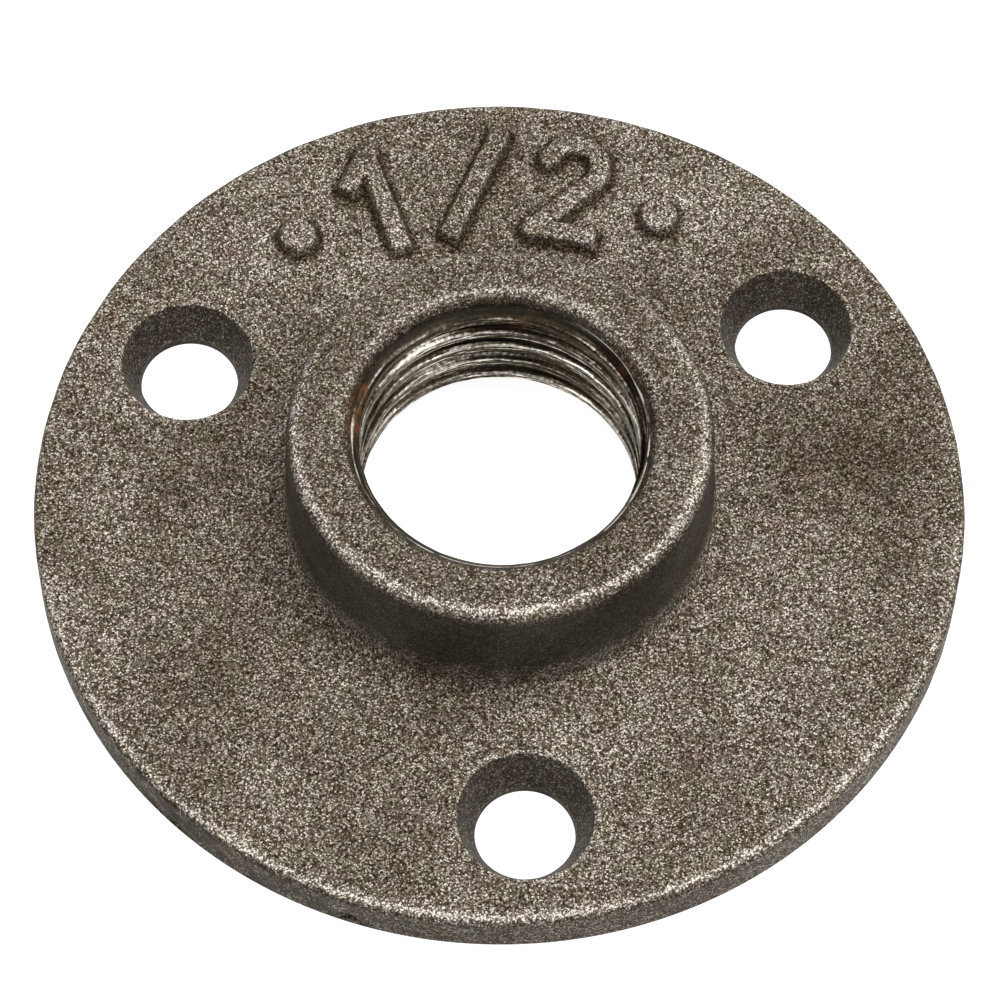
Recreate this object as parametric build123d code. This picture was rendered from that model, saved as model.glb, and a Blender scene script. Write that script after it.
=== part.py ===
from build123d import *
import os
from math import ceil, degrees, radians, tan

# A round floor flange, cast in one piece. A pipe screws into the boss in its middle, and three screws
# through the plate hold it to a floor or a wall.
#
# Frame: millimetres, +Z up and out of the boss. The origin is the middle of the flat underside, and the
# first screw hole lies towards -Y.

# Base plate
plate_diameter = 63.0
plate_thickness = 3.5
plate_rim_round = 0.5

# Boss, measured from the underside, with the taper that lets the casting leave its mould
boss_height = 12.6
boss_top_diameter = 28.4
boss_draft_degrees = 2.0
boss_lip_round = 1.1
boss_root_fillet = 1.1

# Internal pipe thread of nominal size 1/2: 55 degree form, 14 turns to the inch, right-handed. Its groove is
# tapped a little short of the full depth, which leaves the crests wide. The start is the angle from +X at
# which the middle of the groove meets the plane of the underside.
thread_major_diameter = 20.955
thread_pitch = 25.4 / 14
thread_depth_per_pitch = 0.640327
thread_groove_depth = 0.97
thread_groove_floor = 0.2
thread_flank_degrees = 27.5
thread_start_degrees = -80
underside_chamfer_diameter = 23.4
underside_chamfer_depth = 3.3

# Screw holes: a taper that takes the screw's head, and a short straight land at the underside
screw_hole_count = 3
screw_circle_diameter = 47.6
screw_hole_diameter = 6.6
screw_hole_mouth_diameter = 9.1
screw_hole_land = 0.8

# Raised mark on the plate, opposite the first screw hole: the nominal pipe size between two dots
mark_height = 8.8
mark_width = 5.2
mark_stroke = 1.5
mark_relief = 0.9
mark_rim_margin = 2.5
mark_spacing = 6.6
mark_dot_diameter = 2.6

plate_radius = plate_diameter / 2
boss_top_radius = boss_top_diameter / 2
boss_rise = boss_height - plate_thickness
boss_root_radius = boss_top_radius + boss_rise * tan(radians(boss_draft_degrees))

thread_major_radius = thread_major_diameter / 2
mouth_chamfer_depth = thread_depth_per_pitch * thread_pitch
thread_minor_radius = thread_major_radius - mouth_chamfer_depth
thread_floor_radius = thread_minor_radius + thread_groove_depth
underside_chamfer_radius = underside_chamfer_diameter / 2

# How far a cutter runs on past the bore's wall, into the open bore, and the end that it stands on
cutter_overlap = 0.1
on_base = (Align.CENTER, Align.CENTER, Align.MIN)

mark_radius = plate_radius - mark_rim_margin - mark_height / 2


def turned_body():
    """The plate and the boss, before the bore is cut."""
    corners_and_rounds = [
        ((0, 0), 0),
        ((plate_radius, 0), 0),
        ((plate_radius, plate_thickness), plate_rim_round),
        ((boss_root_radius, plate_thickness), boss_root_fillet),
        ((boss_top_radius, boss_height), boss_lip_round),
        ((0, boss_height), 0),
    ]
    corners = [corner for corner, _ in corners_and_rounds]
    rounds = [round_radius for _, round_radius in corners_and_rounds]
    section = make_face(Plane.XZ * FilletPolyline(*corners, radius=rounds, close=True))
    return revolve(section, Axis.Z)


def thread_groove(turns):
    """The thread's groove, cut along a helix. Its open side reaches a little way into the bore."""
    edge_radius = thread_minor_radius - cutter_overlap
    floor_half = thread_groove_floor / 2
    edge_half = floor_half + (thread_floor_radius - edge_radius) * tan(radians(thread_flank_degrees))
    corners = [
        (edge_radius, -edge_half),
        (thread_floor_radius, -floor_half),
        (thread_floor_radius, floor_half),
        (edge_radius, edge_half),
    ]
    section = Plane.XZ * make_face(Polyline(*corners, close=True))
    path = Helix(thread_pitch, turns * thread_pitch, thread_minor_radius)
    return sweep(section, path, is_frenet=True)


def threaded_bore():
    """What the bore takes away: a cylinder of the thread's minor diameter, and the groove round it."""
    # The groove starts a turn below the casting and ends a turn above it, so that neither end shows.
    turns = ceil(boss_height / thread_pitch) + 2
    groove = Pos(Z=-thread_pitch) * thread_groove(turns)
    core = Pos(Z=-2 * thread_pitch) * Cylinder(thread_minor_radius, (turns + 2) * thread_pitch, align=on_base)
    return Rot(Z=thread_start_degrees) * (core + groove)


def bore_chamfer(outer_radius, depth):
    """What a chamfer takes away at the bore's end: a cone that is widest at z 0 and narrows upwards."""
    inner_radius = thread_minor_radius - cutter_overlap
    height = depth * (outer_radius - inner_radius) / (outer_radius - thread_minor_radius)
    return Cone(outer_radius, inner_radius, height, align=on_base)


def bore_chamfers():
    """The chamfer at the underside, and the one at the boss's mouth, which is turned over to face upwards."""
    underside = bore_chamfer(underside_chamfer_radius, underside_chamfer_depth)
    mouth = Pos(Z=boss_height) * Rot(X=180) * bore_chamfer(thread_major_radius, mouth_chamfer_depth)
    return [underside, mouth]


def screw_hole():
    """What one screw hole takes away: its land, its taper, and the room that the head has over the plate."""
    hole_radius = screw_hole_diameter / 2
    mouth_radius = screw_hole_mouth_diameter / 2
    land = Cylinder(hole_radius, screw_hole_land, align=on_base)
    taper = Cone(hole_radius, mouth_radius, plate_thickness - screw_hole_land, align=on_base)
    headroom = Cylinder(mouth_radius, boss_root_fillet, align=on_base)
    return land + Pos(Z=screw_hole_land) * taper + Pos(Z=plate_thickness) * headroom


def screw_holes():
    """All screw holes, evenly round the boss, with the first one towards -Y."""
    places = PolarLocations(screw_circle_diameter / 2, screw_hole_count, start_angle=-90)
    return [place * screw_hole() for place in places]


def figure_one():
    """The centre line of a 1, with its flag."""
    head = (mark_height - mark_stroke) / 2
    flag = mark_width / 3
    return Wire(Polyline((-flag, head - flag), (0, head), (0, -head)).edges())


def figure_bar():
    """The centre line of a fraction bar."""
    head = (mark_height - mark_stroke) / 2
    lean = (mark_width - mark_stroke) / 2
    return Wire(Line((-lean, -head), (lean, head)))


def figure_two():
    """The centre line of a 2: a bow that runs into a straight back, and a foot."""
    head = (mark_height - mark_stroke) / 2
    bow_radius = (mark_width - mark_stroke) / 2
    bow = CenterArc((0, head - bow_radius), bow_radius, 170, -205)
    back = Line(bow @ 1, (-bow_radius, -head))
    foot = Line(back @ 1, (bow_radius, -head))
    return Wire([bow, back, foot])


def raised_mark():
    """The figures of the mark, each standing square to the radius that runs through it."""
    dot = Circle(mark_dot_diameter / 2)
    strokes = [SlotArc(line, mark_stroke) for line in (figure_one(), figure_bar(), figure_two())]
    figures = [dot, *strokes, dot]
    step = degrees(mark_spacing / mark_radius)
    middle = (len(figures) - 1) / 2
    raised = []
    for place, figure in enumerate(figures):
        turn = Rot(Z=(middle - place) * step) * Pos(Y=mark_radius, Z=plate_thickness / 2)
        raised.append(extrude(turn * figure, plate_thickness / 2 + mark_relief, dir=(0, 0, 1)))
    return raised


def floor_flange():
    """The whole casting as one solid."""
    return turned_body() - threaded_bore() - bore_chamfers() + raised_mark() - screw_holes()


os.makedirs("parts", exist_ok=True)
flange = floor_flange()
export_step(flange.solid(), "parts/floor_flange.step")
print(f"floor_flange: {flange.volume / 1000:.2f} cm3, {len(flange.solids())} solid")
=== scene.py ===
import cmath
import math

import bmesh
import bpy
import numpy as np
from mathutils import Matrix, Vector, noise
from mathutils.geometry import delaunay_2d_cdt


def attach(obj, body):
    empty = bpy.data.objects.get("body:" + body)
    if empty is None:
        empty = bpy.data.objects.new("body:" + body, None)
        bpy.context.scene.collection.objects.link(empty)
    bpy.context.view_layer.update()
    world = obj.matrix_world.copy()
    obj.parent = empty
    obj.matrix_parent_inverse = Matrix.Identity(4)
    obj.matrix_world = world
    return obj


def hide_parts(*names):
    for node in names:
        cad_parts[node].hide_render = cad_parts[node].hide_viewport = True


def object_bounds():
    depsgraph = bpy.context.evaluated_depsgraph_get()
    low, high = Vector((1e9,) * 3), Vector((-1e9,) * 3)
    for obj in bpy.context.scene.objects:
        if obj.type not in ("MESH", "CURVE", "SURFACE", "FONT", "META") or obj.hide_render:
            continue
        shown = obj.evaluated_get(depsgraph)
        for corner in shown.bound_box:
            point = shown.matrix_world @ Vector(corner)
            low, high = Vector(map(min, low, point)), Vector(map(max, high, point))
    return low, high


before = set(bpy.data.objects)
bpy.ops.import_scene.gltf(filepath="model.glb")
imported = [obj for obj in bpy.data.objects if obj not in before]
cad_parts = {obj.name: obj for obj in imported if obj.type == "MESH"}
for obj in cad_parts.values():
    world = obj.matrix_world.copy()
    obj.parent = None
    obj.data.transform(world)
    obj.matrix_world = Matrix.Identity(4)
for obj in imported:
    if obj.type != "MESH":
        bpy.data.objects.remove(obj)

cad_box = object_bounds()


# The casting's rim: plate, boss and mark are one piece of iron, poured in a sand mould. The rim is the edge
# of the mould's hollow, rounded above and nearly sharp at the floor. The skin is laid out in millimetres, in
# sheets of points, and this first one reaches a little way into the top face and the underside.
MM = 0.001
PLATE_RADIUS = round(cad_box[1][0] / MM, 2)
PLATE_THICKNESS = 3.5
RIM_COUNT = 432
RIM_STEP = 0.35
RIM_ROUND = 0.5
RIM_FOOT_ROUND = 0.25
RIM_TOP_RADIUS = 30.8
RIM_FOOT_RADIUS = 31.2
ARC_POINTS = 7
CAST_SKIN = 0
sheets = []


def section(corners, step):
    """A line through (radius, height, round) corners, with arcs, in points about a step apart."""
    spots = [complex(r, z) for r, z, _ in corners]
    line = [spots[0]]
    for k in range(1, len(spots) - 1):
        into = (spots[k] - spots[k - 1]) / abs(spots[k] - spots[k - 1])
        out = (spots[k + 1] - spots[k]) / abs(spots[k + 1] - spots[k])
        turn = cmath.phase(out / into)
        round_radius = corners[k][2]
        start = spots[k] - into * round_radius * math.tan(abs(turn) / 2)
        centre = start + into * 1j * math.copysign(round_radius, turn)
        for angle in np.linspace(0, turn, ARC_POINTS):
            line.append(centre + (start - centre) * cmath.exp(1j * angle))
    line.append(spots[-1])
    even = [line[0]]
    for spot in line[1:]:
        parts = max(1, round(abs(spot - even[-1]) / step))
        even += list(np.linspace(even[-1], spot, parts + 1)[1:])
    return [(spot.real, spot.imag) for spot in even]


def circle(radius, count, middle=(0, 0)):
    """Evenly spaced points of a circle, in plan."""
    angles = np.arange(count) * 2 * math.pi / count
    return np.stack([middle[0] + radius * np.cos(angles), middle[1] + radius * np.sin(angles)], 1)


def add_rings(rings, finish):
    """A surface through rings of equally many points."""
    count = len(rings[0])
    faces = []
    for level in range(len(rings) - 1):
        low, high = level * count, (level + 1) * count
        for k in range(count):
            after = (k + 1) % count
            faces.append((low + k, low + after, high + after, high + k))
    sheets.append((np.concatenate(rings), faces, finish))


def add_turned(line, count, finish, middle=(0, 0)):
    """A surface turned from a section round an upright axis."""
    add_rings([np.column_stack([circle(r, count, middle), np.full(count, z)]) for r, z in line], finish)


rim = [
    (RIM_TOP_RADIUS, PLATE_THICKNESS, 0),
    (PLATE_RADIUS, PLATE_THICKNESS, RIM_ROUND),
    (PLATE_RADIUS, 0, RIM_FOOT_ROUND),
    (RIM_FOOT_RADIUS, 0, 0),
]
add_turned(section(rim, RIM_STEP), RIM_COUNT, CAST_SKIN)

# The three screw holes: cast with a taper that takes the screw's head, with a worn edge above and a short
# straight land at the underside.
HOLES = 3
SCREW_CIRCLE_RADIUS = 23.8
SCREW_HOLE_RADIUS = 3.3
SCREW_MOUTH_RADIUS = 4.55
SCREW_LAND = 0.8
HOLE_MOUTH_ROUND = 0.35
HOLE_LAND_ROUND = 0.5
HOLE_FOOT_ROUND = 0.2
HOLE_COUNT = 88
HOLE_STEP = 0.3
HOLE_TOP_RADIUS = 4.95
HOLE_FOOT_RADIUS = 3.6
hole = [
    (HOLE_TOP_RADIUS, PLATE_THICKNESS, 0),
    (SCREW_MOUTH_RADIUS, PLATE_THICKNESS, HOLE_MOUTH_ROUND),
    (SCREW_HOLE_RADIUS, SCREW_LAND, HOLE_LAND_ROUND),
    (SCREW_HOLE_RADIUS, 0, HOLE_FOOT_ROUND),
    (HOLE_FOOT_RADIUS, 0, 0),
]
# Turned so that the first one lies towards -Y.
hole_middles = circle(SCREW_CIRCLE_RADIUS, HOLES) @ np.array([[0, -1], [1, 0]])
for middle in hole_middles:
    add_turned(section(hole, HOLE_STEP), HOLE_COUNT, CAST_SKIN, middle)

# The boss: a stout ring with a little draft, so that it left the mould, a full round at its lip and a fillet
# at its foot. The bore's mouth is chamfered.
BOSS_COUNT = 288
BOSS_STEP = 0.3
BOSS_HEIGHT = round(cad_box[1][2] / MM, 2)
BOSS_TOP_RADIUS = 14.2
BOSS_ROOT_RADIUS = 14.52
BOSS_FOOT_RADIUS = 15.8
BOSS_ROUND = 1.1
MOUTH_RADIUS = 10.5
MOUTH_ROUND = 0.5
MOUTH_CHAMFER_END = 11.95
MOUTH_LEAD = 0.9
THREAD_TOP = (MOUTH_RADIUS - (BOSS_HEIGHT - MOUTH_CHAMFER_END) * MOUTH_LEAD, MOUTH_CHAMFER_END)
boss = [
    (BOSS_FOOT_RADIUS, PLATE_THICKNESS, 0),
    (BOSS_ROOT_RADIUS, PLATE_THICKNESS, BOSS_ROUND),
    (BOSS_TOP_RADIUS, BOSS_HEIGHT, BOSS_ROUND),
    (MOUTH_RADIUS, BOSS_HEIGHT, MOUTH_ROUND),
    (*THREAD_TOP, 0),
]
add_turned(section(boss, BOSS_STEP), BOSS_COUNT, CAST_SKIN)

# The thread: cut in the bore with a tap, 14 turns to the inch, right-handed, with flanks 55 degrees apart.
# The drilled hole leaves its crests flat, the tap tore the iron a little, and a chamfer leads in at each end.
CUT_METAL = 1
PITCH = 25.4 / 14
CREST_RADIUS = 9.33
GROOVE_DEPTH = 0.97
GROOVE_FLOOR = 0.2
GROOVE_START = 0.278
GROOVES = 8
FLANK = math.tan(math.radians(27.5))
GROOVE_HALF = GROOVE_FLOOR / 2 + GROOVE_DEPTH * FLANK
THREAD_FOOT = (11.5, 0.25)
FOOT_LEAD = 0.72
THREAD_LEVELS = 130
LEVEL_REACH = 0.06
TEAR_DEPTH = 0.05
TEARS_ROUND = 9
TEARS_UP = 5
LEAST_TEAR = -0.3
levels = np.linspace(THREAD_TOP[1], THREAD_FOOT[1], THREAD_LEVELS)
columns = []
for k in range(BOSS_COUNT):
    turn = k / BOSS_COUNT
    # The nearest level moves to each of the groove's edges, so that they stay crisp.
    heights = levels.copy()
    for edge_offset in (-GROOVE_HALF, -GROOVE_FLOOR / 2, GROOVE_FLOOR / 2, GROOVE_HALF):
        for groove in range(GROOVES):
            groove_edge = (groove + 0.5 + turn - GROOVE_START) * PITCH + edge_offset
            nearest = int(np.argmin(np.abs(levels - groove_edge)))
            if 0 < nearest < THREAD_LEVELS - 1 and abs(levels[nearest] - groove_edge) < LEVEL_REACH:
                heights[nearest] = groove_edge
    off_groove = np.abs((heights / PITCH - turn + GROOVE_START) % 1 - 0.5) * PITCH
    wall = CREST_RADIUS + np.clip((GROOVE_HALF - off_groove) / FLANK, 0, GROOVE_DEPTH)
    from_top = THREAD_TOP[0] - (THREAD_TOP[1] - heights) * MOUTH_LEAD
    from_foot = THREAD_FOOT[0] - (heights - THREAD_FOOT[1]) * FOOT_LEAD
    angle = turn * 2 * math.pi
    across, beyond = TEARS_ROUND * math.cos(angle), TEARS_ROUND * math.sin(angle)
    tears = [noise.noise(Vector((across, beyond, TEARS_UP * height))) for height in heights]
    wall = np.maximum(wall + TEAR_DEPTH * np.clip(tears, LEAST_TEAR, 1), np.maximum(from_top, from_foot))
    columns.append(np.stack([wall * math.cos(angle), wall * math.sin(angle), heights], 1))
thread_rings = list(np.array(columns).transpose(1, 0, 2))
for ring, (end_radius, end_height) in ((0, THREAD_TOP), (-1, THREAD_FOOT)):
    thread_rings[ring] = np.column_stack([circle(end_radius, BOSS_COUNT), np.full(BOSS_COUNT, end_height)])
add_rings(thread_rings, CUT_METAL)

# The chamfer's edge at the underside: the wide chamfer that was cut below the thread runs out here, nearly
# sharp, into the plate's bottom face.
BORE_EDGE_RADIUS = 11.68
BORE_EDGE_ROUND = 0.1
BORE_FOOT_RADIUS = 12.0
BORE_FOOT_STEP = 0.4
bore_foot = [(*THREAD_FOOT, 0), (BORE_EDGE_RADIUS, 0, BORE_EDGE_ROUND), (BORE_FOOT_RADIUS, 0, 0)]
add_turned(section(bore_foot, BORE_FOOT_STEP), BOSS_COUNT, CAST_SKIN)

# The raised mark: the nominal pipe size between two dots. It was cut into the mould and is cast with the
# plate, so its edges are soft and a little ragged.
MARK_HEIGHT = 8.8
MARK_WIDTH = 5.2
MARK_STROKE = 1.5
MARK_RELIEF = 0.9
MARK_CORNER = 0.3
MARK_MARGIN = 2.5
MARK_RADIUS = PLATE_RADIUS - MARK_MARGIN - MARK_HEIGHT / 2
MARK_SPACING = 6.6
MARK_DOT_RADIUS = 1.3
MARK_WALL = 0.4
MARK_RISE_AT_EDGE = 0.6
MARK_RAG = 0.09
MARK_RAG_LENGTH = 0.7
BOW_FROM, BOW_TO = 170, -35
BOW_POINTS = 16
head = (MARK_HEIGHT - MARK_STROKE) / 2
side = (MARK_WIDTH - MARK_STROKE) / 2
flag = MARK_WIDTH / 3
bow_angles = np.radians(np.linspace(BOW_FROM, BOW_TO, BOW_POINTS))
bow = [(side * math.cos(a), head - side + side * math.sin(a)) for a in bow_angles]
stroke_half = MARK_STROKE / 2
dot = [([(0, 0), (0, 0)], MARK_DOT_RADIUS, MARK_DOT_RADIUS)]
one = [([(-flag, head - flag), (0, head), (0, -head)], stroke_half, MARK_CORNER)]
bar = [([(-side, -head), (side, head)], stroke_half, MARK_CORNER)]
foot = ([bow[-1], (-side, -head), (side, -head)], stroke_half, MARK_CORNER)
two = [(bow, stroke_half, stroke_half), foot]
figures = [dot, one, bar, two, dot]


def off_mark(spots):
    """How far each spot of the plate lies outside the figures' outlines, in plan."""
    nearest = np.full(len(spots), 1e3)
    for place, strokes in enumerate(figures):
        turn = (place - 2) * MARK_SPACING / MARK_RADIUS
        x = spots[:, 0] * math.cos(turn) - spots[:, 1] * math.sin(turn)
        y = spots[:, 0] * math.sin(turn) + spots[:, 1] * math.cos(turn) - MARK_RADIUS
        for line, half_width, corner in strokes:
            for (x0, y0), (x1, y1) in zip(line, line[1:]):
                length = math.hypot(x1 - x0, y1 - y0)
                lean = math.atan2(y1 - y0, x1 - x0)
                from_x, from_y = x - (x0 + x1) / 2, y - (y0 + y1) / 2
                along = np.abs(from_x * math.cos(lean) + from_y * math.sin(lean))
                across = np.abs(from_y * math.cos(lean) - from_x * math.sin(lean))
                past_end = along - length / 2 - half_width + corner
                past_side = across - half_width + corner
                outside = np.hypot(np.maximum(past_end, 0), np.maximum(past_side, 0))
                inside = np.minimum(np.maximum(past_end, past_side), 0)
                nearest = np.minimum(nearest, outside + inside - corner)
    return nearest


def plate_height(spots):
    """The plate's top face: flat, with the mark standing on it."""
    ragged = np.array([noise.noise(Vector((x, y, 0)) / MARK_RAG_LENGTH) for x, y in spots]) * MARK_RAG
    rise = np.clip(MARK_RISE_AT_EDGE - (off_mark(spots) + ragged) / MARK_WALL, 0, 1)
    return PLATE_THICKNESS + MARK_RELIEF * rise * rise * (3 - 2 * rise)


# The plate's two flat faces: the top one, blasted and with the mark on it, and the plain underside, which
# beds on the floor. Their points lie close together only where the mark's edges need them.
PLATE_STEP = 0.42
MARK_STEP = 0.16
MARK_EDGE_REACH = 0.6
UNDERSIDE_STEP = 1.1
UNDERSIDE_GAP = 0.5
GAP_PER_STEP = 0.6
POINT_SHAKE = 0.2


def clear_of_holes(spots, hole_radius):
    """Which spots lie outside the screw holes' circles."""
    away = [np.hypot(*(spots - middle).T) for middle in hole_middles]
    return np.min(away, axis=0) > hole_radius


def on_plate(spots, margin=0.0):
    """Which spots lie on the top face, by a margin."""
    radius = np.hypot(*spots.T)
    inside = (radius < RIM_TOP_RADIUS - margin) & (radius > BOSS_FOOT_RADIUS + margin)
    return inside & clear_of_holes(spots, HOLE_TOP_RADIUS + margin)


def on_underside(spots, margin=0.0):
    """Which spots lie on the underside, by a margin."""
    radius = np.hypot(*spots.T)
    inside = (radius < RIM_FOOT_RADIUS - margin) & (radius > BORE_FOOT_RADIUS + margin)
    return inside & clear_of_holes(spots, HOLE_FOOT_RADIUS + margin)


def by_mark(spots):
    """Which spots lie close to the mark's edges."""
    return np.abs(off_mark(spots)) < MARK_EDGE_REACH


def spread(step, keep):
    """Spots about a step apart, in staggered and shaken rows over the plate, where keep says so."""
    rows = np.arange(-PLATE_RADIUS, PLATE_RADIUS, step * math.sqrt(3) / 2)
    places = np.arange(-PLATE_RADIUS, PLATE_RADIUS, step)
    x, y = np.meshgrid(places, rows)
    x[1::2] += step / 2
    shake = np.random.default_rng(7).uniform(-POINT_SHAKE, POINT_SHAKE, (2, *x.shape)) * step
    spots = np.stack([(x + shake[0]).ravel(), (y + shake[1]).ravel()], 1)
    return spots[keep(spots)]


def fill(loops, keep, spots):
    """The points and triangles between closed loops, which meet the loops point by point."""
    points = np.concatenate([*loops, spots])
    edges = []
    first = 0
    for loop in loops:
        count = len(loop)
        edges += [(first + k, first + (k + 1) % count) for k in range(count)]
        first += count
    flat, _, faces, *_ = delaunay_2d_cdt([Vector(p) for p in points], edges, [], 0, 1e-5, False)
    flat = np.array(flat)
    return flat, [face for face in faces if keep(flat[list(face)].mean(0)[None])[0]]


def add_face(loops, keep, spots, height, finish):
    """A near-flat face between closed loops, at the heights that height gives."""
    flat, faces = fill(loops, keep, spots)
    sheets.append((np.column_stack([flat, height(flat)]), faces, finish))


coarse = spread(PLATE_STEP, lambda s: on_plate(s, PLATE_STEP * GAP_PER_STEP) & ~by_mark(s))
fine = spread(MARK_STEP, lambda s: on_plate(s, MARK_STEP * GAP_PER_STEP) & by_mark(s))
top_loops = [circle(RIM_TOP_RADIUS, RIM_COUNT), circle(BOSS_FOOT_RADIUS, BOSS_COUNT)]
top_loops += [circle(HOLE_TOP_RADIUS, HOLE_COUNT, middle) for middle in hole_middles]
add_face(top_loops, on_plate, np.concatenate([coarse, fine]), plate_height, CAST_SKIN)

foot_spots = spread(UNDERSIDE_STEP, lambda s: on_underside(s, UNDERSIDE_GAP))
foot_loops = [circle(RIM_FOOT_RADIUS, RIM_COUNT), circle(BORE_FOOT_RADIUS, BOSS_COUNT)]
foot_loops += [circle(HOLE_FOOT_RADIUS, HOLE_COUNT, middle) for middle in hole_middles]
add_face(foot_loops, on_underside, foot_spots, lambda s: np.zeros(len(s)), CAST_SKIN)

# The sheets meet point by point, and are welded into one closed skin.
WELD_REACH = 1e-7
points = np.concatenate([sheet[0] for sheet in sheets])
starts = np.cumsum([0] + [len(sheet[0]) for sheet in sheets])
faces = []
finishes = []
for (_, sheet_faces, finish), start in zip(sheets, starts):
    faces += [tuple(int(k + start) for k in face) for face in sheet_faces]
    finishes += [finish] * len(sheet_faces)
casting_mesh = bpy.data.meshes.new("casting")
casting_mesh.from_pydata((points * MM).tolist(), [], faces)
casting_mesh.polygons.foreach_set("material_index", finishes)
skin = bmesh.new()
skin.from_mesh(casting_mesh)
bmesh.ops.remove_doubles(skin, verts=skin.verts, dist=WELD_REACH)
bmesh.ops.recalc_face_normals(skin, faces=skin.faces)
for face in skin.faces:
    face.smooth = True
skin.normal_update()

# Wear, dirt and painted light: sharp edges are rubbed bright, and hollows are darkened as dirt and painted
# shade. The rim and the boss's lip are brightest at the first screw hole's side, and the mouth's edge at the
# far side, where each turns to the camera: that is painted highlight over the wear. The parts of the skin are
# told apart by radius and height.
SHARP_BEND = 0.9
MOST_WEAR = 1.5
RIM_FROM = 30.5
PLATE_FROM = 16.5
FOOT_FROM = 14.3
LIP_FROM = 12.9
BORE_TO = 10.35
MOUTH_HEIGHT = 12.0
FIRST_TURN_HEIGHT = 9.8
MID_HEIGHT = 7.0
FOOT_HEIGHT = 6.0
TOP_FACE_HEIGHT = 3.3
# For each edge: its radius, reach and share of wear and painted highlight, each with what that gains from a
# quarter turn away to the first screw hole's side.
RIM_WEAR_AND_HIGHLIGHT = ((31.0, 0), (0.22, 0), (0.12, 0.9))
LIP_WEAR_AND_HIGHLIGHT = ((13.65, -0.25), (0.35, -0.08), (0.5, 0.35))
MOUTH_WEAR_AND_HIGHLIGHT = ((10.8, 0), (0.2, 0), (0.3, -0.55))
MOUTH_ROUND_WEAR = -0.4
MOUTH_ROUND_REACH = 0.02
FIRST_TURN_DULLING = 0.8
PLATE_WEAR = 0.15
# The boss's foot keeps part of the hollows' darkening, which is dirt and painted shade. The mark has a
# painted shadow beside its foot, shifted to its near right side, and painted light on its tops.
FOOT_DIRT_AND_SHADE = 0.35
MARK_SHADOW = 0.9
MARK_SHADOW_AWAY = 0.2
MARK_SHADOW_REACH = 0.3
MARK_SHADOW_SHIFT = np.array([0.1, -0.1])
MARK_TOP_LIGHT = 0.25
MARK_TOP_INSET = 0.1
# Stains and, with a share below 0, rubbed patches of the plate, as (place, reach, share).
STAINS = [
    ((23.6, 1.6), 5.0, 0.9),
    ((-18.9, 1.6), 4.0, 0.3),
    ((17.3, 23.6), 4.5, -0.35),
    ((-16.0, 19.0), 5.0, -0.3),
]
LEAD_EDGE_WEAR = 2.5
LEAD_EDGE_BREAKS = 5.0
LEAD_EDGE_PATCH = 1.5
LEAD_EDGE_TO = 10.1
LEAD_EDGE_REACH = 0.03


def bulge(vert):
    """How sharply the skin bends at a point, per millimetre: edges are above nought and hollows below."""
    bends = []
    for edge in vert.link_edges:
        step = vert.co - edge.other_vert(vert).co
        bends.append(vert.normal.dot(step) / edge.calc_length() ** 2)
    return 2 * sum(bends) / len(bends) * MM


def ridge(distance, middle, reach):
    """One at the middle, and falling to nearly nought beyond twice the reach."""
    return math.exp(-((distance - middle) / reach) ** 2)


def rubbed_and_lit(edge_wear_and_highlight, radius, nearness):
    """How bright an edge is at a radius, by wear and painted highlight: nearness is 1 at the first screw
    hole's side and -1 across.
    """
    edge_radius, reach, share = [value + gain * nearness for value, gain in edge_wear_and_highlight]
    return max(share, 0) * ridge(radius, edge_radius, reach)


def uneven(vert, size):
    """Smooth noise at a point, from about -1 to 1, in patches of a size in millimetres."""
    return noise.noise(vert.co / (size * MM))


bulges = np.array([bulge(vert) for vert in skin.verts])
wear_and_highlight = np.clip(bulges / SHARP_BEND, 0, MOST_WEAR)
# Hollows are darkened: dirt and painted shade.
dirt_and_shade = np.clip(-bulges / SHARP_BEND, 0, 1)
beside_mark = off_mark(np.array([vert.co.xy / MM for vert in skin.verts]) - MARK_SHADOW_SHIFT)
for k, vert in enumerate(skin.verts):
    radius, height = vert.co.xy.length / MM, vert.co.z / MM
    # Nearness is 1 towards the camera and the first screw hole; the edges' painted highlights follow it.
    nearness = -vert.co.y / vert.co.xy.length
    if radius > RIM_FROM:
        on_round = height > PLATE_THICKNESS - RIM_ROUND
        wear_and_highlight[k] = rubbed_and_lit(RIM_WEAR_AND_HIGHLIGHT, radius, max(nearness, 0)) * on_round
    elif radius > LIP_FROM and height > MID_HEIGHT:
        wear_and_highlight[k] = rubbed_and_lit(LIP_WEAR_AND_HIGHLIGHT, radius, nearness)
    elif radius > BORE_TO and height > MOUTH_HEIGHT:
        wear_and_highlight[k] = rubbed_and_lit(MOUTH_WEAR_AND_HIGHLIGHT, radius, nearness)
    elif radius < BORE_TO and height > MOUTH_CHAMFER_END - MOUTH_ROUND_REACH:
        wear_and_highlight[k] = MOUTH_ROUND_WEAR
    elif radius < BORE_TO and height > FIRST_TURN_HEIGHT:
        wear_and_highlight[k] -= FIRST_TURN_DULLING
    elif FOOT_FROM < radius < PLATE_FROM and height < FOOT_HEIGHT:
        dirt_and_shade[k] *= FOOT_DIRT_AND_SHADE
    elif radius > PLATE_FROM:
        wear_and_highlight[k] *= PLATE_WEAR
        if height > TOP_FACE_HEIGHT:
            # Painted shadow beside the mark, and painted light on its tops.
            dirt_and_shade[k] += MARK_SHADOW * ridge(beside_mark[k], MARK_SHADOW_AWAY, MARK_SHADOW_REACH)
            dirt_and_shade[k] -= MARK_TOP_LIGHT * (beside_mark[k] < -MARK_TOP_INSET)
            for place, reach, share in STAINS:
                dirt_and_shade[k] += share * ridge((vert.co.xy / MM - Vector(place)).length, 0, reach)
    # The tap's lead left a bright, broken line where it met the mouth's chamfer.
    if abs(height - levels[1]) < LEAD_EDGE_REACH and radius < LEAD_EDGE_TO:
        wear_and_highlight[k] = LEAD_EDGE_WEAR + LEAD_EDGE_BREAKS * uneven(vert, LEAD_EDGE_PATCH)
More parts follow.
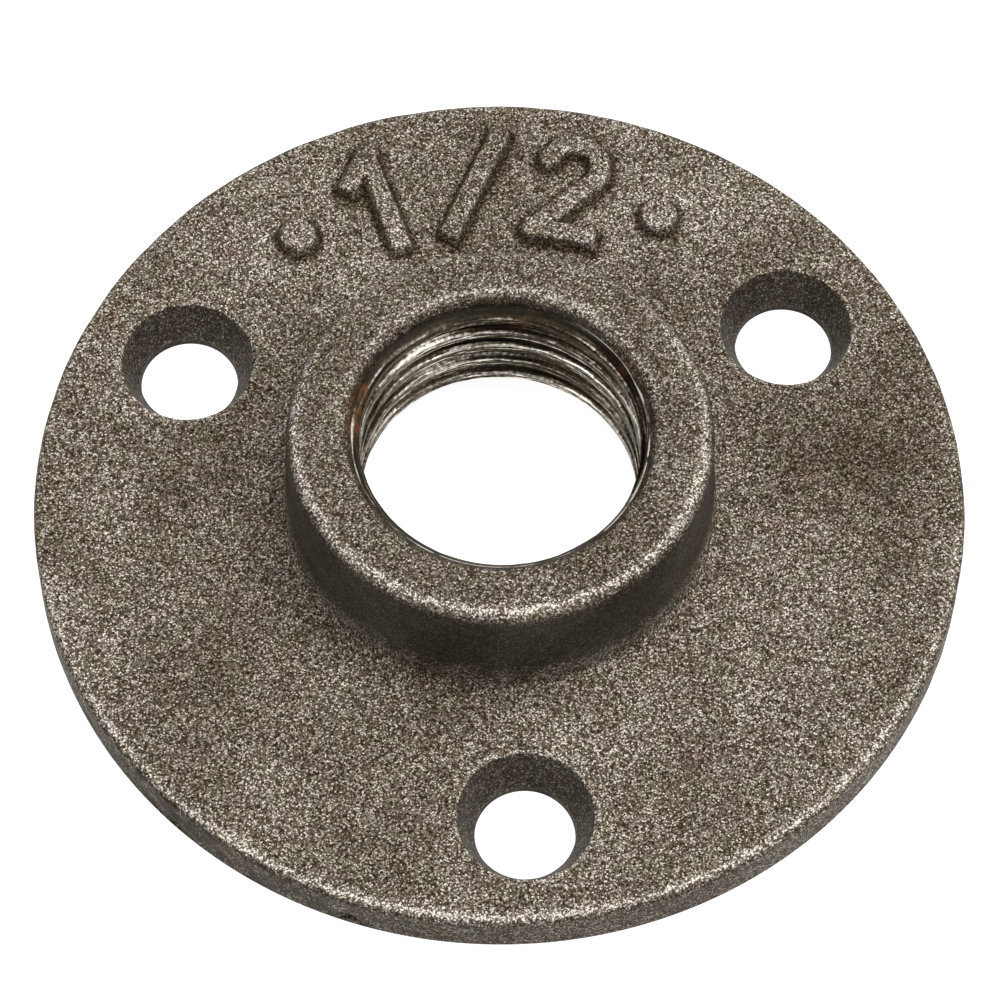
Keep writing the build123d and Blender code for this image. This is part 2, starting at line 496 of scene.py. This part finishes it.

# The shot: it grained the plate's flat skin wholly, the boss's top and foot less, and the steep walls hardly,
# and their dark skin also stands there as painted shade. The rim is grained in patches, and least where the
# runner was knocked off, which also paints shade on that side of the rim.
STEEP_SHADE = 1.6
HOLE_GRAIN = 0.24
HOLES_FROM, HOLES_TO = 17.0, 30.0
HOLE_WALL_FROM, HOLE_WALL_TO = 0.2, 3.4
RIM_GRAIN = 0.66
RIM_PATCHINESS = 0.5
RIM_PATCH = 0.8
RUNNER_SIDE = Vector((-22.5, -21.5))
RUNNER_LOSS_AND_SHADE = 0.4
RUNNER_FADE = 10.0
BORE_GRAIN = 0.3
BORE_PATCHINESS = 0.6
BORE_PATCH = 0.9
BOSS_TOP_GRAIN = 0.62
BOSS_TOP_TO = 13.2
BOSS_TOP_HEIGHT = 12.5
FILLET_GAIN = 0.6
FILLET_GAIN_HEIGHT = 5.6
FILLET_GAIN_FADE = 2.0
FOOT_GRAIN = 0.48
FOOT_PATCHINESS = 0.3
FOOT_PATCH = 1.2
FOOT_GRAIN_TO = 16.0
FOOT_GRAIN_HEIGHT = 6.6
FOOT_GRAIN_FADE = 1.6


def grain_and_shade_at(vert):
    """How fully the skin shows grain at a point, less on steep walls as painted shade: hardly at all at 0 or
    less, and wholly at 1.
    """
    radius, height = vert.co.xy.length / MM, vert.co.z / MM
    if HOLE_WALL_FROM < height < HOLE_WALL_TO and HOLES_FROM < radius < HOLES_TO:
        return HOLE_GRAIN
    # Steep walls get less grain and so show the dark skin: partly the shot's reach and partly painted shade.
    reach = 1 - STEEP_SHADE * (1 - abs(vert.normal.z))
    if radius > HOLES_TO:
        # Less grain round the runner's side, which is also painted shade.
        loss = RUNNER_LOSS_AND_SHADE * ridge((vert.co.xy / MM - RUNNER_SIDE).length, 0, RUNNER_FADE)
        return max(reach, RIM_GRAIN - loss + (RIM_PATCHINESS + loss) * uneven(vert, RIM_PATCH))
    if radius < BORE_TO:
        return BORE_GRAIN + BORE_PATCHINESS * uneven(vert, BORE_PATCH)
    if height > BOSS_TOP_HEIGHT and radius < BOSS_TOP_TO:
        return BOSS_TOP_GRAIN
    if height > TOP_FACE_HEIGHT:
        reach += FILLET_GAIN * min(max((FILLET_GAIN_HEIGHT - height) / FILLET_GAIN_FADE, 0), 1)
    if radius < FOOT_GRAIN_TO and TOP_FACE_HEIGHT < height < FOOT_GRAIN_HEIGHT:
        foot_reach = FOOT_GRAIN * min((FOOT_GRAIN_HEIGHT - height) / FOOT_GRAIN_FADE, 1)
        return max(reach, foot_reach + FOOT_PATCHINESS * uneven(vert, FOOT_PATCH))
    return reach


grain_and_shade_shares = [grain_and_shade_at(vert) for vert in skin.verts]

# Rust: it blooms in the mouth of the bore and in a streak on the rim, each spot given as (place, reach).
RUST_SPOTS = [
    ((2.0, 9.3, 10.4), 0.6),
    ((-9.8, 1.4, 11.7), 0.7),
    ((-9.6, 2.8, 11.7), 0.8),
    ((-9.0, 4.1, 11.7), 0.6),
    ((8.4, 4.7, 11.7), 0.5),
    ((-19.4, -24.8, 2.6), 0.5),
    ((-19.4, -24.8, 1.4), 0.6),
]
RUST_PATCH = 0.4
RUST_PATCHINESS = 1.8
MOST_RUST = 0.7


def rust_share(vert):
    """How much rust a point of the skin holds, as a share."""
    bloom = max(ridge((vert.co / MM - Vector(place)).length, 0, reach) for place, reach in RUST_SPOTS)
    return MOST_RUST * bloom * min(max(0.5 + RUST_PATCHINESS * uneven(vert, RUST_PATCH), 0), 1)


rust_shares = [rust_share(vert) for vert in skin.verts]

# The mould's sand left the skin a little uneven. It is rough where the runner was knocked off, and dented at
# two places, each given as (place, reach, depth). The skin only moves inwards, so no size grows.
LUMP_HEIGHT = 0.045 * MM
WIDE_LUMP = 2.6
SMALL_LUMP = 1.1
SMALL_LUMP_SHARE = 0.5
RUNNER_LUMP = 0.9
RUNNER_ROUGHNESS = 3.5
RUNNER_REACH = 14.0
RIM_SIDE_FROM = 30.9
TAPPED_TO = 10.4
BEDDED_TO = 0.1
DENTS = [((13.5, -1.8, 12.2), 0.5, 0.3), ((-12.0, -29.1, 0.4), 0.8, 0.45)]
for vert in skin.verts:
    if vert.co.z < BEDDED_TO * MM or vert.co.xy.length < TAPPED_TO * MM:
        continue
    lump = uneven(vert, WIDE_LUMP) + SMALL_LUMP_SHARE * uneven(vert, SMALL_LUMP) - 1.0
    from_runner = (vert.co.xy / MM - RUNNER_SIDE).length
    if vert.co.xy.length > RIM_SIDE_FROM * MM and from_runner < RUNNER_REACH:
        lump += RUNNER_ROUGHNESS * (uneven(vert, RUNNER_LUMP) - 0.5) * (1 - from_runner / RUNNER_REACH)
    for place, reach, depth in DENTS:
        lump -= depth * MM / LUMP_HEIGHT * ridge((vert.co / MM - Vector(place)).length, 0, reach)
    vert.co += vert.normal * LUMP_HEIGHT * min(lump, 0)
skin.to_mesh(casting_mesh)
skin.free()
for name, values in (("wear_and_highlight", wear_and_highlight), ("dirt_and_shade", dirt_and_shade), ("grain_and_shade", grain_and_shade_shares), ("rust", rust_shares)):
    casting_mesh.attributes.new(name, "FLOAT", "POINT").data.foreach_set("value", values)
casting = bpy.data.objects.new("floor_flange_casting", casting_mesh)
bpy.context.scene.collection.objects.link(casting)

# Shot-blasted cast iron: shot has beaten the raw skin into a close mosaic of tiny facets, each with its own
# tone, and the brightest facets are painted glints, so the eye sees a warm grey that glitters. That skin is
# more scale than bare metal, and dirt with painted shade, wear with painted highlights, and rust lie over it.
FACET = 0.104 * MM
SAND_GRAIN = 0.2 * MM
SAND_RELIEF = 0.12 * MM
PATCH = 7.0 * MM
TINT_PATCH = 1.5 * MM


def colour(hex_code):
    """A linear colour from an sRGB hex value."""
    parts = [int(hex_code[k:k + 2], 16) / 255 for k in (1, 3, 5)]
    return (*[p / 12.92 if p <= 0.04045 else ((p + 0.055) / 1.055) ** 2.4 for p in parts], 1.0)


def add_node(tree, kind, links=(), values=(), stops=(), **settings):
    """A node with its (from, to input) links, (input, value) pairs, ramp stops and other settings."""
    node = tree.nodes.new(kind)
    for name, value in settings.items():
        if hasattr(node, name):
            setattr(node, name, value)
        else:
            node.inputs[name.replace("_", " ")].default_value = value
    for socket, value in values:
        node.inputs[socket].default_value = value
    for source, target in links:
        tree.links.new(source, node.inputs[target])
    for number, (position, hex_code) in enumerate(stops):
        elements = node.color_ramp.elements
        element = elements[number] if number < len(elements) else elements.new(1.0)
        element.position = position
        element.color = colour(hex_code)
    return node


def new_material(name):
    """A material without nodes, and its node tree."""
    material = bpy.data.materials.new(name)
    material.use_nodes = True
    tree = material.node_tree
    tree.nodes.clear()
    return material, tree


cast_iron, tree = new_material("cast_iron_shot_blasted")
place = add_node(tree, "ShaderNodeTexCoord")
facets = add_node(tree, "ShaderNodeTexVoronoi", [(place.outputs["Object"], "Vector")], Scale=1 / FACET)
facet = add_node(tree, "ShaderNodeSeparateColor", [(facets.outputs["Color"], "Color")])
patches = add_node(tree, "ShaderNodeTexNoise", [(place.outputs["Object"], "Vector")],
                   Scale=1 / PATCH, Detail=5.0, Roughness=0.62)
worn_and_lit = add_node(tree, "ShaderNodeAttribute", attribute_name="wear_and_highlight")
dirty_and_shaded = add_node(tree, "ShaderNodeAttribute", attribute_name="dirt_and_shade")
# Each facet has its own tone. It is darker at its edge, as painted shade between facets, and in dirt and
# painted shade, and lighter in pale patches, in wear and in painted highlights.
by_gap_shade = add_node(tree, "ShaderNodeMath", [(facets.outputs["Distance"], 0), (facet.outputs["Red"], 2)],
                  [(1, -0.5)], operation="MULTIPLY_ADD")
by_patch = add_node(tree, "ShaderNodeMath", [(patches.outputs["Fac"], 0), (by_gap_shade.outputs[0], 2)],
                    [(1, 0.5)], operation="MULTIPLY_ADD")
by_wear_and_highlight = add_node(tree, "ShaderNodeMath", [(worn_and_lit.outputs["Fac"], 0), (by_patch.outputs[0], 2)],
                   [(1, 0.42)], operation="MULTIPLY_ADD")
by_dirt_and_shade = add_node(tree, "ShaderNodeMath", [(dirty_and_shaded.outputs["Fac"], 0), (by_wear_and_highlight.outputs[0], 2)],
                   [(1, -0.25)], operation="MULTIPLY_ADD")
tone = add_node(tree, "ShaderNodeMath", [(by_dirt_and_shade.outputs[0], 0)], [(1, 0.66)], operation="MULTIPLY")
# The ramp's brightest facets are painted glints.
facet_tone_and_glint = add_node(tree, "ShaderNodeValToRGB", [(tone.outputs[0], "Fac")], stops=[
    (0.0, "#1b150c"), (0.12, "#352c20"), (0.26, "#574c3f"),
    (0.42, "#776c5e"), (0.56, "#a49b8e"), (0.72, "#fff9f0")])
tint = add_node(tree, "ShaderNodeTexNoise", [(place.outputs["Object"], "Vector")],
                Scale=1 / TINT_PATCH, Detail=2.0)
tinted = add_node(tree, "ShaderNodeMix", [(facet_tone_and_glint.outputs["Color"], 6), (tint.outputs["Color"], 7)],
                  [(0, 0.12)], data_type="RGBA", blend_type="OVERLAY")
# Where the shot hardly reached, and on steep walls as painted shade, the dark skin that the mould left shows
# between few facets.
grain_and_shade = add_node(tree, "ShaderNodeAttribute", attribute_name="grain_and_shade")
speckled = add_node(tree, "ShaderNodeMath", [(facet.outputs["Green"], 0), (grain_and_shade.outputs["Fac"], 2)],
                    [(1, 0.25)], operation="MULTIPLY_ADD")
blasted = add_node(tree, "ShaderNodeMapRange", [(speckled.outputs[0], "Value")],
                   [("From Min", 0.22), ("From Max", 0.88), ("To Min", 0.12)], clamp=True)
mould_skin = add_node(tree, "ShaderNodeValToRGB", [(patches.outputs["Fac"], "Fac")],
                      stops=[(0.3, "#1a1713"), (0.5, "#2c2823"), (0.7, "#403b34")])
skin_layers = [(blasted.outputs["Result"], 0), (mould_skin.outputs["Color"], 6), (tinted.outputs[2], 7)]
skin_mix = add_node(tree, "ShaderNodeMix", skin_layers, data_type="RGBA")
rusty = add_node(tree, "ShaderNodeAttribute", attribute_name="rust")
rust_mix = add_node(tree, "ShaderNodeMix", [(rusty.outputs["Fac"], 0), (skin_mix.outputs[2], 6)],
                    [(7, colour("#7c4a26"))], data_type="RGBA")
sand = add_node(tree, "ShaderNodeTexNoise", [(place.outputs["Object"], "Vector")],
                Scale=1 / SAND_GRAIN, Detail=2.0)
relief = add_node(tree, "ShaderNodeBump", [(sand.outputs["Fac"], "Height")],
                  Strength=1.0, Distance=SAND_RELIEF)
iron = add_node(tree, "ShaderNodeBsdfPrincipled",
                [(rust_mix.outputs[2], "Base Color"), (relief.outputs["Normal"], "Normal")],
                Roughness=0.6, Specular_IOR_Level=0.12, Specular_Tint=colour("#ffd9a6"))
add_node(tree, "ShaderNodeOutputMaterial", [(iron.outputs["BSDF"], "Surface")])
casting_mesh.materials.append(cast_iron)

# Tapped cast iron: the tap left bare metal, scored along its turns and chipped across them, so the eye sees
# thin bright and dark lines that run round the bore; the brightest scores and the crest edges are painted
# highlights. The roots are darkened as painted shade with some dirt, and the mouth's chamfer is dull and
# dirty.
# Real scores are finer, and these are as wide as they have to be to show.
SCORE_LENGTH = 8.0 * MM
SCORE_WIDTH = 0.16 * MM
SCORE_DEPTH = 0.08 * MM
CHIP = 0.25 * MM
ROOT_SHADE_FROM = 9.5 * MM
ROOT_SHADE_TO = 10.0 * MM
MOUTH_FROM = 11.0 * MM
MOUTH_TO = 11.5 * MM
cut_iron, tree = new_material("cast_iron_tapped")
place = add_node(tree, "ShaderNodeTexCoord")
spot = add_node(tree, "ShaderNodeSeparateXYZ", [(place.outputs["Object"], "Vector")])
# The scores follow the helix: the height that counts is the height less the thread's climb at that bearing.
bearing = add_node(tree, "ShaderNodeMath", [(spot.outputs["Y"], 0), (spot.outputs["X"], 1)],
                   operation="ARCTAN2")
off_helix = add_node(tree, "ShaderNodeMath", [(bearing.outputs[0], 0), (spot.outputs["Z"], 2)],
                     [(1, -PITCH * MM / (2 * math.pi))], operation="MULTIPLY_ADD")
along = add_node(tree, "ShaderNodeCombineXYZ",
                 [(spot.outputs["X"], "X"), (spot.outputs["Y"], "Y"), (off_helix.outputs[0], "Z")])
stretch = add_node(tree, "ShaderNodeMapping", [(along.outputs["Vector"], "Vector")],
                   [("Scale", (1 / SCORE_LENGTH, 1 / SCORE_LENGTH, 1 / SCORE_WIDTH))])
scores = add_node(tree, "ShaderNodeTexNoise", [(stretch.outputs["Vector"], "Vector")],
                  Scale=1.0, Detail=3.0, Roughness=0.6)
chips = add_node(tree, "ShaderNodeTexNoise", [(place.outputs["Object"], "Vector")],
                 Scale=1 / CHIP, Detail=2.0)
chipped = add_node(tree, "ShaderNodeMath", [(chips.outputs["Fac"], 0), (scores.outputs["Fac"], 2)],
                   [(1, 0.32)], operation="MULTIPLY_ADD")
# Wear and painted highlights brighten the crest edges.
worn_and_lit = add_node(tree, "ShaderNodeAttribute", attribute_name="wear_and_highlight")
tone = add_node(tree, "ShaderNodeMath", [(worn_and_lit.outputs["Fac"], 0), (chipped.outputs[0], 2)],
                [(1, 0.1)], operation="MULTIPLY_ADD")
# The ramp's brightest stops are painted glints on the bare metal.
bare_metal_and_glints = add_node(tree, "ShaderNodeValToRGB", [(tone.outputs[0], "Fac")], stops=[
    (0.5, "#0d0a05"), (0.64, "#2b251b"), (0.73, "#5a5349"), (0.81, "#a8a195"), (0.88, "#fbf6ec")])
mouth_colour = add_node(tree, "ShaderNodeValToRGB", [(tone.outputs[0], "Fac")], stops=[
    (0.48, "#17120a"), (0.63, "#352d21"), (0.72, "#5d5445"), (0.8, "#a09786"), (0.88, "#f6efe2")])
level_spot = add_node(tree, "ShaderNodeCombineXYZ", [(spot.outputs["X"], "X"), (spot.outputs["Y"], "Y")])
radius = add_node(tree, "ShaderNodeVectorMath", [(level_spot.outputs["Vector"], 0)], operation="LENGTH")
# The deep part of each groove is darkened: painted shade, with some dirt.
root = add_node(tree, "ShaderNodeMapRange", [(radius.outputs["Value"], "Value")],
                [("From Min", ROOT_SHADE_FROM), ("From Max", ROOT_SHADE_TO)])
root_shade_mix = add_node(tree, "ShaderNodeMix", [(root.outputs["Result"], 0), (bare_metal_and_glints.outputs["Color"], 6)],
                    [(7, colour("#17130f"))], data_type="RGBA")
mouth = add_node(tree, "ShaderNodeMapRange", [(spot.outputs["Z"], "Value")],
                 [("From Min", MOUTH_FROM), ("From Max", MOUTH_TO)])
mouth_layers = [(mouth.outputs["Result"], 0), (root_shade_mix.outputs[2], 6), (mouth_colour.outputs["Color"], 7)]
mouth_mix = add_node(tree, "ShaderNodeMix", mouth_layers, data_type="RGBA")
rusty = add_node(tree, "ShaderNodeAttribute", attribute_name="rust")
rust_mix = add_node(tree, "ShaderNodeMix", [(rusty.outputs["Fac"], 0), (mouth_mix.outputs[2], 6)],
                    [(7, colour("#8a5630"))], data_type="RGBA")
bare = add_node(tree, "ShaderNodeMapRange", [(mouth.outputs["Result"], "Value")],
                [("To Min", 1.0), ("To Max", 0.0)])
dull = add_node(tree, "ShaderNodeMapRange", [(mouth.outputs["Result"], "Value")],
                [("To Min", 0.3), ("To Max", 0.55)])
relief = add_node(tree, "ShaderNodeBump", [(chipped.outputs[0], "Height")],
                  Strength=0.9, Distance=SCORE_DEPTH)
iron = add_node(tree, "ShaderNodeBsdfPrincipled",
                [(rust_mix.outputs[2], "Base Color"), (bare.outputs["Result"], "Metallic"),
                 (dull.outputs["Result"], "Roughness"), (relief.outputs["Normal"], "Normal")],
                Specular_IOR_Level=0.2, Specular_Tint=colour("#d9d4cb"))
add_node(tree, "ShaderNodeOutputMaterial", [(iron.outputs["BSDF"], "Surface")])
casting_mesh.materials.append(cut_iron)

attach(casting, "root")
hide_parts("floor_flange")


# The studio's floor: matt white paper that also glows for the camera alone, so that it reads as plain white.
# It reaches a little way under the casting's edges and is open below the rest, so that the underside shows.
FLOOR_HALF = 1500.0
SEAT = 0.2
floor_loops = [np.array([(-1, -1), (1, -1), (1, 1), (-1, 1)]) * FLOOR_HALF]
floor_loops += [circle(RIM_FOOT_RADIUS - SEAT, RIM_COUNT), circle(BORE_FOOT_RADIUS + SEAT, BOSS_COUNT)]
floor_loops += [circle(HOLE_FOOT_RADIUS + SEAT, HOLE_COUNT, middle) for middle in hole_middles]
paper_spots, paper_faces = fill(floor_loops, lambda s: ~on_underside(s, SEAT), np.empty((0, 2)))
paper_points = [(x * MM, y * MM, 0) for x, y in paper_spots.tolist()]
floor_mesh = bpy.data.meshes.new("floor")
floor_mesh.from_pydata(paper_points, [], [tuple(face) for face in paper_faces])
floor = bpy.data.objects.new("floor", floor_mesh)
bpy.context.scene.collection.objects.link(floor)
paper, tree = new_material("white_paper_floor")
path = add_node(tree, "ShaderNodeLightPath")
seen = add_node(tree, "ShaderNodeMath",
                [(path.outputs["Is Camera Ray"], 0), (path.outputs["Is Glossy Ray"], 1)], operation="MAXIMUM")
matt = add_node(tree, "ShaderNodeBsdfDiffuse", Color=colour("#b8b8b8"))
glow = add_node(tree, "ShaderNodeEmission", [(seen.outputs[0], "Strength")], Color=(0.92, 0.92, 0.92, 1))
both = add_node(tree, "ShaderNodeAddShader", [(matt.outputs["BSDF"], 0), (glow.outputs["Emission"], 1)])
add_node(tree, "ShaderNodeOutputMaterial", [(both.outputs["Shader"], "Surface")])
floor_mesh.materials.append(paper)

# The studio's light: an even white room, which is full white only to the camera and in reflections, with a
# soft lamp overhead and one at each side of the camera.
ROOM_LEVEL = 0.25
world = bpy.data.worlds.new("studio")
bpy.context.scene.world = world
world.use_nodes = True
tree = world.node_tree
tree.nodes.clear()
path = add_node(tree, "ShaderNodeLightPath")
seen = add_node(tree, "ShaderNodeMath",
                [(path.outputs["Is Camera Ray"], 0), (path.outputs["Is Glossy Ray"], 1)], operation="MAXIMUM")
level = add_node(tree, "ShaderNodeMapRange", [(seen.outputs[0], "Value")],
                 [("To Min", ROOM_LEVEL), ("To Max", 1.0)])
sky = add_node(tree, "ShaderNodeBackground", [(level.outputs["Result"], "Strength")], Color=(1, 1, 1, 1))
add_node(tree, "ShaderNodeOutputWorld", [(sky.outputs["Background"], "Surface")])


def add_lamp(name, place, size, watts):
    """A soft square lamp that points at the casting. Its place and size are in metres."""
    lamp = bpy.data.lights.new(name, "AREA")
    lamp.size = size
    lamp.energy = watts
    stand = bpy.data.objects.new(name, lamp)
    stand.location = place
    stand.rotation_euler = Vector(place).to_track_quat("Z", "Y").to_euler()
    bpy.context.scene.collection.objects.link(stand)


add_lamp("overhead_lamp", (0.12, 0.06, 0.59), 0.36, 2.0)
add_lamp("left_lamp", (-0.38, -0.28, 0.55), 0.26, 0.82)
add_lamp("right_lamp", (0.44, -0.18, 0.55), 0.26, 1.45)

# The camera: a long lens that looks down from the first screw hole's side, turned and rolled a little. The
# casting sits a little off the middle of the picture.
ELEVATION = math.radians(61.65)
AZIMUTH = math.radians(-4.9)
ROLL = math.radians(0.93)
DISTANCE = 335.4 * MM
AIM_RIGHT = 0.05 * MM
AIM_UP = 1.35 * MM
flat_reach = math.cos(ELEVATION)
back = Vector((math.sin(AZIMUTH) * flat_reach, -math.cos(AZIMUTH) * flat_reach, math.sin(ELEVATION)))
level_right = Vector((math.cos(AZIMUTH), math.sin(AZIMUTH), 0))
level_up = back.cross(level_right)
right = level_right * math.cos(ROLL) + level_up * math.sin(ROLL)
up = back.cross(right)
camera_data = bpy.data.cameras.new("camera")
camera_data.sensor_width = 36.0
camera_data.lens = 177.0
camera = bpy.data.objects.new("camera", camera_data)
bpy.context.scene.collection.objects.link(camera)
camera_place = back * DISTANCE + right * AIM_RIGHT + up * AIM_UP
camera.matrix_world = Matrix.LocRotScale(camera_place, Matrix((right, up, back)).transposed(), None)
bpy.context.scene.camera = camera
bpy.context.scene.view_settings.view_transform = "Standard"
